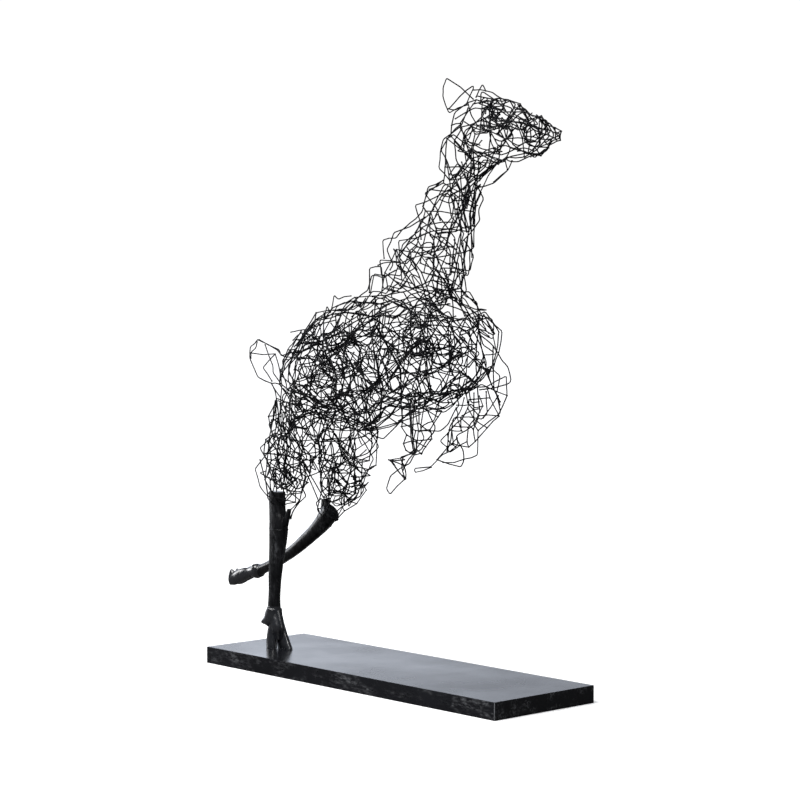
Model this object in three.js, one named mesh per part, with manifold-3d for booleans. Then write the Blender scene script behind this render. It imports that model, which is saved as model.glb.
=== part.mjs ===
// A leaping deer of bent and welded wire. It stands on one of its two cast hind legs, on a long flat plinth.
// Millimetres. +X is the way the deer heads, +Y is its left side and +Z is up.
// The origin is the middle of the plinth's underside.
import * as THREE from "three";
import { mergeVertices } from "three/addons/utils/BufferGeometryUtils.js";
import Module from "manifold-3d";

// Plinth
const PLINTH_LENGTH = 500;
const PLINTH_WIDTH = 155;
const PLINTH_THICKNESS = 20;

// Figure: its places and sections are given in hundredths of its height, from the plinth's top up
const FIGURE_HEIGHT = 672;
const HUNDREDTH = FIGURE_HEIGHT / 100;

// Wire: each one is a three-sided bar with the section area of the round wire
const WIRE_DIAMETER = 1.5;
const BAR_REACH = WIRE_DIAMETER * Math.sqrt(Math.PI / (3 * Math.sqrt(3)));
const BAR_HALF_WIDTH = (BAR_REACH * Math.sqrt(3)) / 2;
const BAR_FLOOR = BAR_REACH / 2;

// Clearances between pieces that touch
const SEAT_GAP = 0.3;
const COLLAR_CLEARANCE = 1.9;
const COLLAR = (BAR_REACH + COLLAR_CLEARANCE) / HUNDREDTH;

// How far a knot of the net strays from its even place, as shares of the net's own pitch, and in hundredths
const STRAY_ALONG = 0.2;
const STRAY_AROUND = 0.28;
const STRAY_OUT = 0.55;

// The narrowest fork between two bars, as the sine of half its angle, that is drawn to a full corner
const NARROWEST_FORK = 0.4;

// How near a wire's end comes to a knot of the bar that it is welded to, as a share of the bar
const WELD_MARGIN = 0.2;

// Castings
const LEG_SIDES = 10;
const TOE_SIDES = 8;
const DEWCLAW_SIDES = 6;
const RAISED_FOOT_TURN = Math.PI / 2;

// Sections of the limbs: [x, y, z, half depth, half width], in hundredths of the figure's height
const TRUNK = [
  [-28.0, 0, 52.7, 2.4, 2.1],
  [-25.6, 0, 52.4, 6.5, 4.9],
  [-21.7, 0, 51.5, 8.6, 6.4],
  [-15.3, 0, 51.5, 11.0, 7.1],
  [-7.4, 0, 52.4, 11.3, 7.3],
  [0.7, 0, 53.9, 11.9, 7.3],
  [8.9, 0, 55.4, 11.6, 7.0],
  [15.8, 0, 56.0, 9.2, 6.2],
  [20.8, 0, 55.5, 6.5, 4.9],
  [24.1, 0, 54.8, 3.0, 2.5],
];
const NECK = [
  [6.3, 0, 61.3, 10.2, 6.0],
  [8.8, 0, 67.6, 8.9, 5.4],
  [11.3, 0, 72.6, 7.3, 4.8],
  [13.4, 0, 77.5, 6.0, 4.0],
  [14.7, 0, 82.1, 5.1, 3.7],
  [17.0, 0, 86.6, 5.7, 3.9],
  [19.6, 0, 89.6, 6.0, 3.9],
];
const HEAD = [
  [17.6, 0, 92.3, 3.0, 2.7],
  [19.9, 0, 91.7, 5.1, 4.0],
  [23.8, 0, 91.1, 5.8, 4.3],
  [28.0, 0, 90.6, 5.2, 3.7],
  [32.0, 0, 90.0, 4.0, 2.8],
  [35.7, 0, 89.7, 3.0, 2.2],
  [38.4, 0, 89.7, 1.8, 1.6],
  [40.2, 0, 89.6, 0.8, 0.9],
];
const RIGHT_THIGH = [
  [-19.0, -3.6, 54.3, 6.0, 3.3],
  [-19.3, -5.2, 49.1, 6.8, 3.7],
  [-20.5, -5.7, 43.5, 6.5, 3.9],
  [-22.0, -5.5, 37.9, 6.0, 3.6],
  [-23.2, -4.8, 33.6, 5.0, 3.1],
  [-25.2, -4.1, 30.0, 3.7, 2.5],
  [-26.9, -3.5, 27.2, 1.5 + COLLAR, 1.25 + COLLAR],
];
const LEFT_THIGH = [
  [-20.8, 3.9, 53.6, 6.8, 3.3],
  [-19.9, 5.4, 48.4, 7.7, 3.9],
  [-18.2, 6.1, 41.7, 8.0, 4.0],
  [-17.6, 6.2, 36.0, 7.1, 3.9],
  [-18.5, 5.8, 31.5, 5.7, 3.3],
  [-19.9, 5.1, 27.9, 3.9, 2.7],
  [-22.0, 4.5, 24.1, 1.9 + COLLAR, 1.5 + COLLAR],
];
const RIGHT_FORELEG = [
  [14.6, -5.1, 52.8, 5.1, 3.0],
  [14.6, -6.0, 47.6, 4.8, 3.0],
  [14.0, -6.4, 43.5, 3.9, 2.5],
  [13.5, -6.5, 40.2, 2.7, 1.9],
  [13.1, -6.4, 37.6, 1.2, 1.0],
];
const LEFT_FORELEG = [
  [13.7, 5.1, 55.8, 4.8, 3.0],
  [15.6, 6.2, 51.3, 5.1, 3.1],
  [16.1, 7.0, 46.9, 4.5, 2.7],
  [13.7, 7.3, 42.9, 3.3, 2.4],
  [10.1, 7.1, 40.2, 2.4, 2.1],
  [6.8, 6.8, 38.1, 1.5, 1.4],
];
const STANDING_SHANK = [
  [-26.9, -3.5, 28.5, 1.42, 1.2],
  [-26.9, -3.5, 25.8, 1.45, 1.25],
  [-26.5, -3.5, 24.8, 1.8, 1.3],
  [-26.1, -3.5, 23.7, 2.2, 1.4],
  [-26.3, -3.5, 21.7, 2.1, 1.4],
  [-26.5, -3.4, 19.3, 1.85, 1.3],
  [-27.1, -3.4, 15.1, 1.42, 1.05],
  [-27.4, -3.3, 12.5, 1.25, 0.97],
  [-27.7, -3.2, 9.8, 1.1, 0.87],
  [-28.0, -3.1, 7.2, 1.2, 1.0],
];
const RAISED_SHANK = [
  [-21.0, 4.5, 24.8, 1.7, 1.45],
  [-23.6, 4.5, 22.4, 1.4, 1.25],
  [-25.7, 4.5, 20.7, 1.15, 1.1],
  [-30.9, 4.5, 17.2, 0.97, 0.97],
  [-35.5, 4.5, 14.6, 0.85, 0.88],
  [-39.6, 4.5, 12.8, 0.82, 0.85],
  [-41.9, 4.5, 12.0, 1.0, 0.95],
];
const RAISED_HOCK_POINT = [
  [-22.9, 4.5, 26.9, 0.45, 0.45],
  [-22.7, 4.5, 25.2, 0.6, 0.6],
  [-22.5, 4.5, 23.2, 0.8, 0.75],
];

// Feet, from the fetlock's middle, toes towards +X and sole down. The raised one is then turned sole back.
const STANDING_DROP = 6.5;
const STANDING_PASTERN = [
  [-0.1, 0, 1.4, 1.15, 1.0],
  [0, 0, 0, 1.4, 1.2],
  [0.4, 0, -1.4, 1.5, 1.28],
  [0.9, 0, -2.9, 1.45, 1.2],
];
const STANDING_TOE = [
  [0.8, 0.68, -2.0, 1.1, 0.55],
  [1.2, 0.74, -3.6, 1.6, 0.66],
  [1.6, 0.79, -5.1, 2.05, 0.72],
  [1.95, 0.8, -STANDING_DROP, 2.4, 0.74],
];
const STANDING_DEWCLAW = [
  [-0.9, 0.6, -0.7, 0.6, 0.5],
  [-1.9, 0.68, -1.4, 0.45, 0.4],
  [-2.6, 0.7, -2.1, 0.2, 0.2],
];
const RAISED_PASTERN = [
  [0, 0, 1.2, 1.0, 1.0],
  [0, 0, 0, 1.4, 1.2],
  [0.2, 0, -1.2, 1.2, 1.15],
  [0.5, 0, -2.6, 1.0, 1.1],
];
const RAISED_TOE = [
  [0.4, 0.62, -1.6, 0.9, 0.5],
  [0.7, 0.68, -3.0, 1.15, 0.6],
  [1.2, 0.72, -5.0, 1.42, 0.66],
  [1.9, 0.74, -6.6, 1.5, 0.68],
];
const RAISED_DEWCLAW = [
  [-0.7, 0.6, -0.4, 0.6, 0.5],
  [-1.2, 0.68, -0.8, 0.5, 0.45],
  [-1.6, 0.7, -1.1, 0.3, 0.3],
];
const STANDING_FETLOCK = [-28.0, -3.1, STANDING_DROP];
const RAISED_FETLOCK = [-42.3, 4.5, 11.9];

// Single wires that show on their own, in hundredths: [x, y, z]
const RIGHT_EAR = [
  [23.0, -3.0, 96.1],
  [17.1, -3.6, 99.8],
  [15.9, -3.9, 97.4],
  [17.1, -3.6, 94.2],
  [21.4, -3.0, 94.9],
];
const LEFT_EAR = [
  [18.3, 2.4, 96.0],
  [17.6, 2.9, 98.5],
  [16.6, 3.1, 98.2],
  [11.9, 3.4, 95.3],
  [15.9, 2.6, 95.0],
];
const CREST = [
  [21.6, 0, 96.6],
  [22.4, 0, 98.6],
  [23.4, 0, 96.6],
];
const TAIL = [
  [-30.4, -0.6, 53.6],
  [-36.7, 0, 55.9],
  [-39.0, 0.2, 53.3],
  [-36.4, 0.2, 48.7],
  [-30.6, -0.4, 47.6],
];
const RIGHT_HOOF = [
  [13.0, -6.4, 37.4],
  [6.7, -6.4, 36.5],
  [10.6, -6.4, 33.3],
  [6.8, -6.4, 30.5],
  [6.0, -6.4, 31.6],
  [7.6, -6.4, 35.2],
];
const LEFT_HOOF = [
  [4.4, 6.7, 36.2],
  [3.0, 6.7, 34.4],
  [-0.9, 6.7, 33.8],
  [-1.3, 6.7, 33.2],
  [1.8, 6.7, 33.5],
];
const LEFT_KNEE = [
  [14.2, 7.4, 42.2],
  [14.4, 7.0, 37.1],
  [10.3, 7.0, 34.9],
  [8.4, 7.9, 37.0],
];
const RIGHT_HOCK = [
  [-19.4, -5.6, 31.6],
  [-18.0, -4.6, 28.6],
  [-23.1, -3.5, 24.7],
  [-21.2, -2.4, 29.2],
];
const BREAST = [
  [22.2, -3.0, 60.6],
  [25.6, -1.6, 57.2],
  [29.0, 0.2, 51.2],
  [24.4, -1.0, 49.6],
];

const wasm = await Module();
wasm.setup();

// A vector in millimetres from one in hundredths
function measured([x, y, z]) {
  return new THREE.Vector3(x, y, z).multiplyScalar(HUNDREDTH);
}

// An even scatter from -1 to 1 that is the same for the same three numbers
function scatter(a, b, c) {
  const wave = Math.sin(a * 12.9898 + b * 78.233 + c * 37.719) * 43758.5453;
  return 2 * (wave - Math.floor(wave)) - 1;
}

// A limb is a smooth run of oval sections. An upright one keeps its sections level.
class Limb {
  constructor(sections, upright = false) {
    const middles = sections.map((section) => measured(section));
    const reaches = sections.map(([, , , depth, width]) => measured([depth, width, 0]));
    this.middle = new THREE.CatmullRomCurve3(middles, false, "catmullrom");
    this.reach = new THREE.CatmullRomCurve3(reaches, false, "catmullrom");
    this.upright = upright;
  }

  axes(u) {
    const ahead = this.upright ? new THREE.Vector3(0, 0, -1) : this.middle.getTangent(u);
    const left = new THREE.Vector3(0, 1, 0);
    left.addScaledVector(ahead, -left.dot(ahead)).normalize();
    return { front: ahead.clone().cross(left), left };
  }

  // The point at u along the limb and at the angle v round it, lifted off it
  at(u, v, lift = 0, shell = 1) {
    const { front, left } = this.axes(u);
    const reach = this.reach.getPoint(u);
    return this.middle
      .getPoint(u)
      .addScaledVector(front, (reach.x * shell + lift) * Math.cos(v))
      .addScaledVector(left, (reach.y * shell + lift) * Math.sin(v));
  }

  outward(u, v) {
    const { front, left } = this.axes(u);
    const reach = this.reach.getPoint(u);
    return front
      .multiplyScalar(Math.cos(v) / reach.x)
      .addScaledVector(left, Math.sin(v) / reach.y)
      .normalize();
  }
}

// A six-sided mesh of wire round a limb: zigzag rings, each linked to the next at every other bend
function ringNet(limb, { rings, cells, seed, from = 0, to = 1, shell = 1, stray = 1, collar = false }) {
  const around = 2 * cells;
  const pitch = (to - from) / (rings - 1 + 1 / 3);
  const knots = [];
  const links = [];
  for (let ring = 0; ring < rings; ring += 1) {
    const straight = collar && ring === rings - 1;
    const slack = straight ? 0 : stray;
    for (let side = 0; side < around; side += 1) {
      const up = (ring + side) % 2 === 0 ? 1 : -1;
      const along = slack * STRAY_ALONG * scatter(ring, side, seed);
      const across = slack * STRAY_AROUND * scatter(side, ring, seed + 1);
      const out = slack * STRAY_OUT * HUNDREDTH * scatter(side, seed, ring + 2);
      const even = from + pitch * (ring + 1 / 6 + up / 6 + along);
      const u = straight ? to : THREE.MathUtils.clamp(even, 0, 1);
      const v = (2 * Math.PI * (side + across)) / around;
      knots.push({ spot: limb.at(u, v, out, shell), outward: limb.outward(u, v) });
      const here = ring * around + side;
      links.push([here, ring * around + ((side + 1) % around)]);
      if (up === 1 && ring < rings - 1) links.push([here, here + around]);
    }
  }
  return { limb, around, rings, knots, links };
}

// One wire through a few points. Its flat side faces along the normal of the polygon that they make.
function wire(points) {
  const normal = new THREE.Vector3();
  for (let i = 1; i < points.length - 1; i += 1) {
    const before = points[i].clone().sub(points[0]);
    const after = points[i + 1].clone().sub(points[0]);
    normal.add(before.cross(after));
  }
  if (normal.length() < 1e-6) {
    const run = points[points.length - 1].clone().sub(points[0]);
    const level = Math.abs(run.z) > Math.abs(run.x) ? new THREE.Vector3(1, 0, 0) : new THREE.Vector3(0, 0, 1);
    normal.copy(run.cross(level));
  }
  normal.normalize();
  const knots = points.map((spot) => ({ spot, outward: normal }));
  const links = points.slice(1).map((_, i) => [i, i + 1]);
  return { knots, links };
}

// The place on a net's bars, away from their knots, that is nearest to a point
function nearest(net, spot) {
  const places = net.links.map(([a, b]) => {
    const bar = new THREE.Line3(net.knots[a].spot, net.knots[b].spot);
    const closest = bar.closestPointToPointParameter(spot, true);
    const share = THREE.MathUtils.clamp(closest, WELD_MARGIN, 1 - WELD_MARGIN);
    return bar.at(share, new THREE.Vector3());
  });
  const far = (place) => place.distanceToSquared(spot);
  return places.reduce((best, place) => (far(place) < far(best) ? place : best));
}

// A wire whose two ends are welded to the nearest bars of a net
function landed(net, points) {
  const first = nearest(net, points[0]);
  const last = nearest(net, points[points.length - 1]);
  return wire([first, ...points, last]);
}

// Straight wires from every second bar of one ring to the nearest bars of another net
function ties(net, ring, other) {
  const made = [];
  for (let side = 0; side < net.around; side += 2) {
    const bar = [0, 1].map((step) => net.knots[ring * net.around + side + step].spot);
    const spot = bar[0].clone().lerp(bar[1], 0.5);
    made.push(wire([spot, nearest(other, spot)]));
  }
  return made;
}

// A bent loop that stands proud of a net, along its limb
function hoop(net, [u, v, span, rise]) {
  const proud = [
    [-0.42, 0.72],
    [-0.12, 1],
    [0.3, 0.86],
  ];
  const points = proud.map(([share, lift]) => net.limb.at(u + share * span, v, rise * lift * HUNDREDTH));
  const start = nearest(net, net.limb.at(u - span / 2, v));
  const end = nearest(net, net.limb.at(u + span / 2, v));
  return wire([start, ...points, end]);
}

// The closed skin of a graph of wires. At a knot each bar runs into its neighbours at mitred corners, and the
// bars' floors meet in one small polygon.
function welded({ knots, links }) {
  const corners = [];
  const faces = [];
  const corner = (point) => corners.push(point) - 1;
  const spokes = knots.map(() => []);
  for (const [a, b] of links) {
    spokes[a].push({ to: b });
    spokes[b].push({ to: a });
  }
  const tops = knots.map(({ spot, outward }, k) => {
    const ahead = knots[spokes[k][0].to].spot.clone().sub(spot);
    ahead.addScaledVector(outward, -ahead.dot(outward)).normalize();
    const left = outward.clone().cross(ahead);
    for (const spoke of spokes[k]) {
      const run = knots[spoke.to].spot.clone().sub(spot);
      spoke.bearing = Math.atan2(run.dot(left), run.dot(ahead));
    }
    spokes[k].sort((one, other) => one.bearing - other.bearing);
    const floor = spot.clone().addScaledVector(outward, -BAR_FLOOR);
    const web = (bearing, reach) =>
      corner(
        floor
          .clone()
          .addScaledVector(ahead, reach * Math.cos(bearing))
          .addScaledVector(left, reach * Math.sin(bearing)),
      );
    const top = corner(spot.clone().addScaledVector(outward, BAR_REACH));
    const count = spokes[k].length;
    if (count === 1) {
      const [end] = spokes[k];
      end.left = web(end.bearing + Math.PI / 2, BAR_HALF_WIDTH);
      end.right = web(end.bearing - Math.PI / 2, BAR_HALF_WIDTH);
      faces.push([top, end.left, end.right]);
      return top;
    }
    spokes[k].forEach((spoke, i) => {
      const next = spokes[k][(i + 1) % count];
      const fork = (next.bearing - spoke.bearing + 2 * Math.PI) % (2 * Math.PI);
      const sharpness = Math.max(Math.sin(fork / 2), NARROWEST_FORK);
      const shared = web(spoke.bearing + fork / 2, BAR_HALF_WIDTH / sharpness);
      spoke.left = shared;
      next.right = shared;
    });
    for (let i = 1; i < count - 1; i += 1) {
      faces.push([spokes[k][0].left, spokes[k][i + 1].left, spokes[k][i].left]);
    }
    return top;
  });
  for (const [a, b] of links) {
    const out = spokes[a].find((spoke) => spoke.to === b);
    const back = spokes[b].find((spoke) => spoke.to === a);
    faces.push([tops[a], tops[b], out.left], [tops[b], back.right, out.left]);
    faces.push([tops[a], out.right, tops[b]], [tops[b], out.right, back.left]);
    faces.push([out.right, out.left, back.right], [out.right, back.right, back.left]);
  }
  return solid(corners, faces);
}

// The closed skin of a limb, with flat ends
function skin(limb, rings, sides) {
  const corners = [];
  const faces = [];
  for (let ring = 0; ring <= rings; ring += 1) {
    for (let side = 0; side < sides; side += 1) {
      corners.push(limb.at(ring / rings, (2 * Math.PI * side) / sides));
    }
  }
  const first = corners.push(limb.middle.getPoint(0)) - 1;
  const last = corners.push(limb.middle.getPoint(1)) - 1;
  for (let side = 0; side < sides; side += 1) {
    const next = (side + 1) % sides;
    const end = rings * sides;
    faces.push([first, side, next], [last, end + next, end + side]);
    for (let ring = 0; ring < rings; ring += 1) {
      const near = ring * sides;
      const far = near + sides;
      faces.push([near + side, far + side, near + next], [far + side, far + next, near + next]);
    }
  }
  return solid(corners, faces);
}

function solid(corners, faces) {
  return new wasm.Manifold(
    new wasm.Mesh({
      numProp: 3,
      vertProperties: new Float32Array(corners.flatMap((point) => point.toArray())),
      triVerts: new Uint32Array(faces.flat()),
    }),
  );
}

// One foot: pastern, two toes and two dewclaws, made at its fetlock, turned about it and set in its place
function foot(pastern, toe, dewclaw, fetlock, turn) {
  let whole = skin(new Limb(pastern, true), 4, LEG_SIDES);
  for (const side of [-1, 1]) {
    const sided = ([x, y, ...rest]) => [x, side * y, ...rest];
    whole = whole.add(skin(new Limb(toe.map(sided), true), 4, TOE_SIDES));
    whole = whole.add(skin(new Limb(dewclaw.map(sided)), 2, DEWCLAW_SIDES));
  }
  const matrix = new THREE.Matrix4().makeRotationY(turn);
  matrix.setPosition(measured(fetlock));
  return whole.transform(matrix.toArray());
}

function standingLeg() {
  const shank = skin(new Limb(STANDING_SHANK, true), STANDING_SHANK.length, LEG_SIDES);
  return shank.add(foot(STANDING_PASTERN, STANDING_TOE, STANDING_DEWCLAW, STANDING_FETLOCK, 0));
}

function raisedLeg() {
  const shank = skin(new Limb(RAISED_SHANK), RAISED_SHANK.length, LEG_SIDES);
  const point = skin(new Limb(RAISED_HOCK_POINT), 3, LEG_SIDES);
  const raised = foot(RAISED_PASTERN, RAISED_TOE, RAISED_DEWCLAW, RAISED_FETLOCK, RAISED_FOOT_TURN);
  return shank.add(point).add(raised);
}

function wireBody() {
  const net = (sections, grid) => ringNet(new Limb(sections), grid);
  const trunk = net(TRUNK, { rings: 9, cells: 8, seed: 1 });
  const core = net(TRUNK, { rings: 5, cells: 3, seed: 2, shell: 0.42, from: 0.12, to: 0.88 });
  const neck = net(NECK, { rings: 6, cells: 5, seed: 3, from: 0.04 });
  const head = net(HEAD, { rings: 7, cells: 5, seed: 4, stray: 0.6 });
  const rightThigh = net(RIGHT_THIGH, { rings: 6, cells: 5, seed: 5, from: 0.3, collar: true });
  const leftThigh = net(LEFT_THIGH, { rings: 6, cells: 5, seed: 6, from: 0.3, collar: true });
  const rightForeleg = net(RIGHT_FORELEG, { rings: 4, cells: 3, seed: 7, from: 0.36, stray: 0.6 });
  const leftForeleg = net(LEFT_FORELEG, { rings: 5, cells: 3, seed: 8, from: 0.3, stray: 0.6 });
  const nets = [trunk, core, neck, head, rightThigh, leftThigh, rightForeleg, leftForeleg];
  const wires = [
    ...ties(core, 0, trunk),
    ...ties(core, 4, trunk),
    ...ties(neck, 0, trunk),
    ...ties(neck, 5, head),
    ...ties(rightThigh, 0, trunk),
    ...ties(leftThigh, 0, trunk),
    ...ties(rightForeleg, 0, trunk),
    ...ties(leftForeleg, 0, trunk),
  ];
  // Loops that stand proud: [along, round, span, rise], the first three as shares of the limb and in radians
  const proud = [
    [neck, [[0.12, 0.1, 0.2, 2.4], [0.36, -0.2, 0.2, 2.4], [0.64, 0.1, 0.2, 1.8], [0.6, 3.1, 0.26, 1.8]]],
    [trunk, [[0.3, 0.2, 0.12, 2], [0.52, 3.2, 0.12, 2.4]]],
    [rightThigh, [[0.5, 3.2, 0.2, 1.6], [0.66, 3.0, 0.22, 2.6], [0.82, 3.3, 0.2, 2.8]]],
    [leftThigh, [[0.42, 0.1, 0.22, 2], [0.62, -0.2, 0.22, 2], [0.8, 0.1, 0.2, 1.4]]],
    [head, [[0.25, 0.1, 0.2, 1.3], [0.3, 3.1, 0.24, 2.2]]],
  ];
  for (const [under, hoops] of proud) wires.push(...hoops.map((size) => hoop(under, size)));
  const single = [
    [head, RIGHT_EAR],
    [head, LEFT_EAR],
    [head, CREST],
    [trunk, TAIL],
    [rightForeleg, RIGHT_HOOF],
    [leftForeleg, LEFT_HOOF],
    [leftForeleg, LEFT_KNEE],
    [rightThigh, RIGHT_HOCK],
    [trunk, BREAST],
  ];
  for (const [under, points] of single) wires.push(landed(under, points.map(measured)));
  return joined([...nets, ...wires].map(welded));
}

// All solids as one. Where bars cross closely they can shut in a speck of air, which the weld fills.
function joined(solids) {
  const whole = solids.reduce((one, other) => one.add(other));
  const bodies = whole.decompose().filter((body) => body.volume() > 0);
  return bodies.reduce((one, other) => one.add(other));
}

function geometryOf(manifold) {
  const { vertProperties, triVerts } = manifold.getMesh();
  const geometry = new THREE.BufferGeometry();
  geometry.setAttribute("position", new THREE.BufferAttribute(vertProperties, 3));
  geometry.setIndex(new THREE.BufferAttribute(triVerts, 1));
  return mergeVertices(geometry);
}

function piece(name, geometry, colour, roughness) {
  const material = new THREE.MeshStandardMaterial({ color: colour, roughness, metalness: 0.6 });
  const mesh = new THREE.Mesh(geometry, material);
  mesh.name = name;
  return mesh;
}

const deer = new THREE.Group();
const plinthBlock = new THREE.BoxGeometry(PLINTH_LENGTH, PLINTH_WIDTH, PLINTH_THICKNESS);
const plinth = piece("plinth", plinthBlock, 0x161719, 0.3);
plinth.position.z = PLINTH_THICKNESS / 2;
deer.add(plinth);

const figure = new THREE.Group();
figure.position.z = PLINTH_THICKNESS + SEAT_GAP;
figure.add(piece("standing_hind_leg", geometryOf(standingLeg()), 0x101113, 0.35));
figure.add(piece("raised_hind_leg", geometryOf(raisedLeg()), 0x101113, 0.35));
figure.add(piece("wire_body", geometryOf(wireBody()), 0x0b0b0c, 0.5));
deer.add(figure);

export default deer;
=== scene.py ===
# A leaping deer of bent and welded black wire on cast hind legs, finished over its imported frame.
# Metres. +X is the way the deer heads, +Y is its left side and +Z is up.
import math
import random

import bpy
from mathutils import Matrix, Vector


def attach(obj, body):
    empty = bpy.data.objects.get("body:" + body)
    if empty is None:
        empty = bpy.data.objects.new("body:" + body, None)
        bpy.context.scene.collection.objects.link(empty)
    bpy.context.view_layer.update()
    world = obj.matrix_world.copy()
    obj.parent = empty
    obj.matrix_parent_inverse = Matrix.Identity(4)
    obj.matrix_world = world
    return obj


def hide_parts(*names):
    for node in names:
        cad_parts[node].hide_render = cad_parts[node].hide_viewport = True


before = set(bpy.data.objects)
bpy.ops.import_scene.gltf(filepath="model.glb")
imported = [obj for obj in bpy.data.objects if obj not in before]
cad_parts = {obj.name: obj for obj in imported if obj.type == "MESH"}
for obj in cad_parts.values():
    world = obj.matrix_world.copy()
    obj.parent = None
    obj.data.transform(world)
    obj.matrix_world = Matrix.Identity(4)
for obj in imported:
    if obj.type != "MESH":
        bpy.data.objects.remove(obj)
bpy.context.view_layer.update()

MM = 0.001

# Plinth
PLINTH_LENGTH = 500 * MM
PLINTH_WIDTH = 155 * MM
PLINTH_THICKNESS = 20 * MM
PLINTH_EDGE = 0.7 * MM

# Figure: its places are given in hundredths of its height, from the plinth's top up
FIGURE_HEIGHT = 672 * MM
HUNDREDTH = FIGURE_HEIGHT / 100
SEAT_GAP = 0.3 * MM
FIGURE_FOOT = Vector((0, 0, PLINTH_THICKNESS + SEAT_GAP))

# Wire: how its corners are bent, how far its long stretches bow, and the beads that weld it
WIRE_DIAMETER = 1.5 * MM
BEND_REACH = 1.6 * MM
BEND_SHARE = 0.3
BOW = 0.05
BOW_SIDE = Vector((0.3, 1, 0.2))
BOWED_FROM = 9 * MM
BEAD_RADIUS = 1.15 * MM
BEAD_SHAPE = (1.15, 1, 0.85)

# Wandering wires: how fast they change depth, how often they turn the same way again and how many corners
# they have, then the least and most share of a step, of a ring's side, longer side and turn, and of a gap
DRIFT = 0.15
CURL = 0.4
OPEN_CORNERS = (3, 8)
RING_CORNERS = (5, 7)
OPEN_STEP = (0.6, 1.4)
RING_STEP = (0.85, 1.15)
RING_STRETCH = (1.0, 1.9)
RING_TURN = (0.75, 1.25)
STRAND_GAP = 1.6 * MM
STRAND_SPREAD = (0.5, 1.5)

# The small moves along and round a limb that measure it, and the shortest metres that count for one
TANGENT_SHARE = 0.0001
TRIED_SHARE = 0.01
TRIED_TURN = 0.02
LEAST_LENGTHWAYS = 20 * MM
LEAST_ACROSS = 2 * MM

# How far a knot of a net strays from its even place, as shares of the net's own pitch, and in hundredths
STRAY_ALONG = 0.2
STRAY_AROUND = 0.28
STRAY_OUT = 0.55

# Castings
LOFT_CORNERS = 24
RINGS_PER_SECTION = 5
CAST_GRAIN = 0.55 * MM
LEG_SOFTENING = 5
TOE_SOFTENING = 4
HAND_DENT = 0.5 * MM
DENT_SIZE = 11 * MM
HOOF_RISE = 1.1 * HUNDREDTH

# Sections of the limbs: [x, y, z, half depth, half width], in hundredths
TRUNK = [
    [-27.0, 0, 51.6, 2.4, 2.1],
    [-24.6, 0, 51.0, 5.0, 4.4],
    [-21.2, 0, 50.2, 7.0, 6.0],
    [-15.3, 0, 50.6, 10.3, 7.0],
    [-7.4, 0, 51.7, 11.6, 7.3],
    [0.7, 0, 53.5, 12.3, 7.3],
    [8.9, 0, 55.4, 11.6, 7.0],
    [15.8, 0, 56.0, 9.2, 6.2],
    [20.8, 0, 55.5, 6.5, 4.9],
    [24.1, 0, 54.8, 3.0, 2.5],
]
NECK = [
    [5.2, 0, 60.4, 12.2, 6.2],
    [8.0, 0, 65.2, 11.0, 5.8],
    [10.4, 0, 69.4, 9.2, 5.3],
    [12.6, 0, 73.4, 7.3, 4.8],
    [14.4, 0, 77.5, 5.9, 4.1],
    [16.4, 0, 81.4, 4.7, 3.7],
    [18.4, 0, 84.4, 4.0, 3.5],
    [20.2, 0, 88.0, 5.6, 3.9],
    [21.4, 0, 91.0, 5.4, 3.9],
]
HEAD = [
    [17.6, 0, 92.3, 3.0, 2.7],
    [19.9, 0, 91.7, 5.1, 4.0],
    [23.8, 0, 91.1, 5.8, 4.3],
    [28.0, 0, 90.6, 5.2, 3.7],
    [32.0, 0, 90.0, 4.0, 2.8],
    [35.7, 0, 89.7, 3.0, 2.2],
    [38.4, 0, 89.6, 1.5, 1.4],
    [40.2, 0, 89.5, 0.3, 0.4],
]
RIGHT_THIGH = [
    [-17.2, -3.6, 54.3, 6.0, 3.3],
    [-16.2, -5.2, 49.1, 7.0, 3.7],
    [-16.4, -5.7, 43.5, 7.0, 3.9],
    [-19.0, -5.5, 37.9, 6.7, 3.6],
    [-21.8, -4.8, 33.6, 5.8, 3.1],
    [-24.7, -4.1, 30.0, 4.3, 2.5],
    [-26.9, -3.5, 27.2, 1.9, 1.65],
]
LEFT_THIGH = [
    [-20.8, 3.9, 53.6, 6.8, 3.3],
    [-20.3, 5.4, 48.4, 7.9, 3.9],
    [-19.2, 6.1, 41.7, 8.4, 4.0],
    [-18.6, 6.2, 36.0, 7.4, 3.9],
    [-19.0, 5.8, 31.5, 5.7, 3.3],
    [-20.2, 5.1, 27.9, 3.9, 2.7],
    [-22.0, 4.5, 24.1, 2.3, 1.9],
]
RIGHT_FORELEG = [
    [14.6, -5.1, 52.8, 5.1, 3.0],
    [14.6, -6.0, 47.6, 4.8, 3.0],
    [14.0, -6.4, 43.5, 3.9, 2.5],
    [13.5, -6.5, 40.2, 2.7, 1.9],
    [13.1, -6.4, 37.6, 1.2, 1.0],
]
LEFT_FORELEG = [
    [13.7, 5.1, 55.8, 4.8, 3.0],
    [15.6, 6.2, 51.3, 5.1, 3.1],
    [16.1, 7.0, 46.9, 4.5, 2.7],
    [13.7, 7.3, 42.9, 3.3, 2.4],
    [10.1, 7.1, 40.2, 2.4, 2.1],
    [6.8, 6.8, 38.1, 1.5, 1.4],
]
STANDING_SHANK = [
    [-26.7, -3.5, 28.5, 1.75, 1.3],
    [-26.65, -3.5, 26.0, 1.75, 1.3],
    [-26.55, -3.5, 24.8, 1.78, 1.35],
    [-26.35, -3.5, 23.7, 1.95, 1.4],
    [-26.3, -3.5, 21.7, 2.12, 1.4],
    [-26.6, -3.4, 19.3, 1.95, 1.3],
    [-27.2, -3.4, 15.1, 1.6, 1.1],
    [-27.6, -3.3, 12.5, 1.45, 1.0],
    [-27.9, -3.2, 9.8, 1.3, 0.95],
    [-28.1, -3.1, 7.2, 1.4, 1.05],
    [-28.1, -3.1, 6.0, 1.5, 1.15],
]
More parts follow.
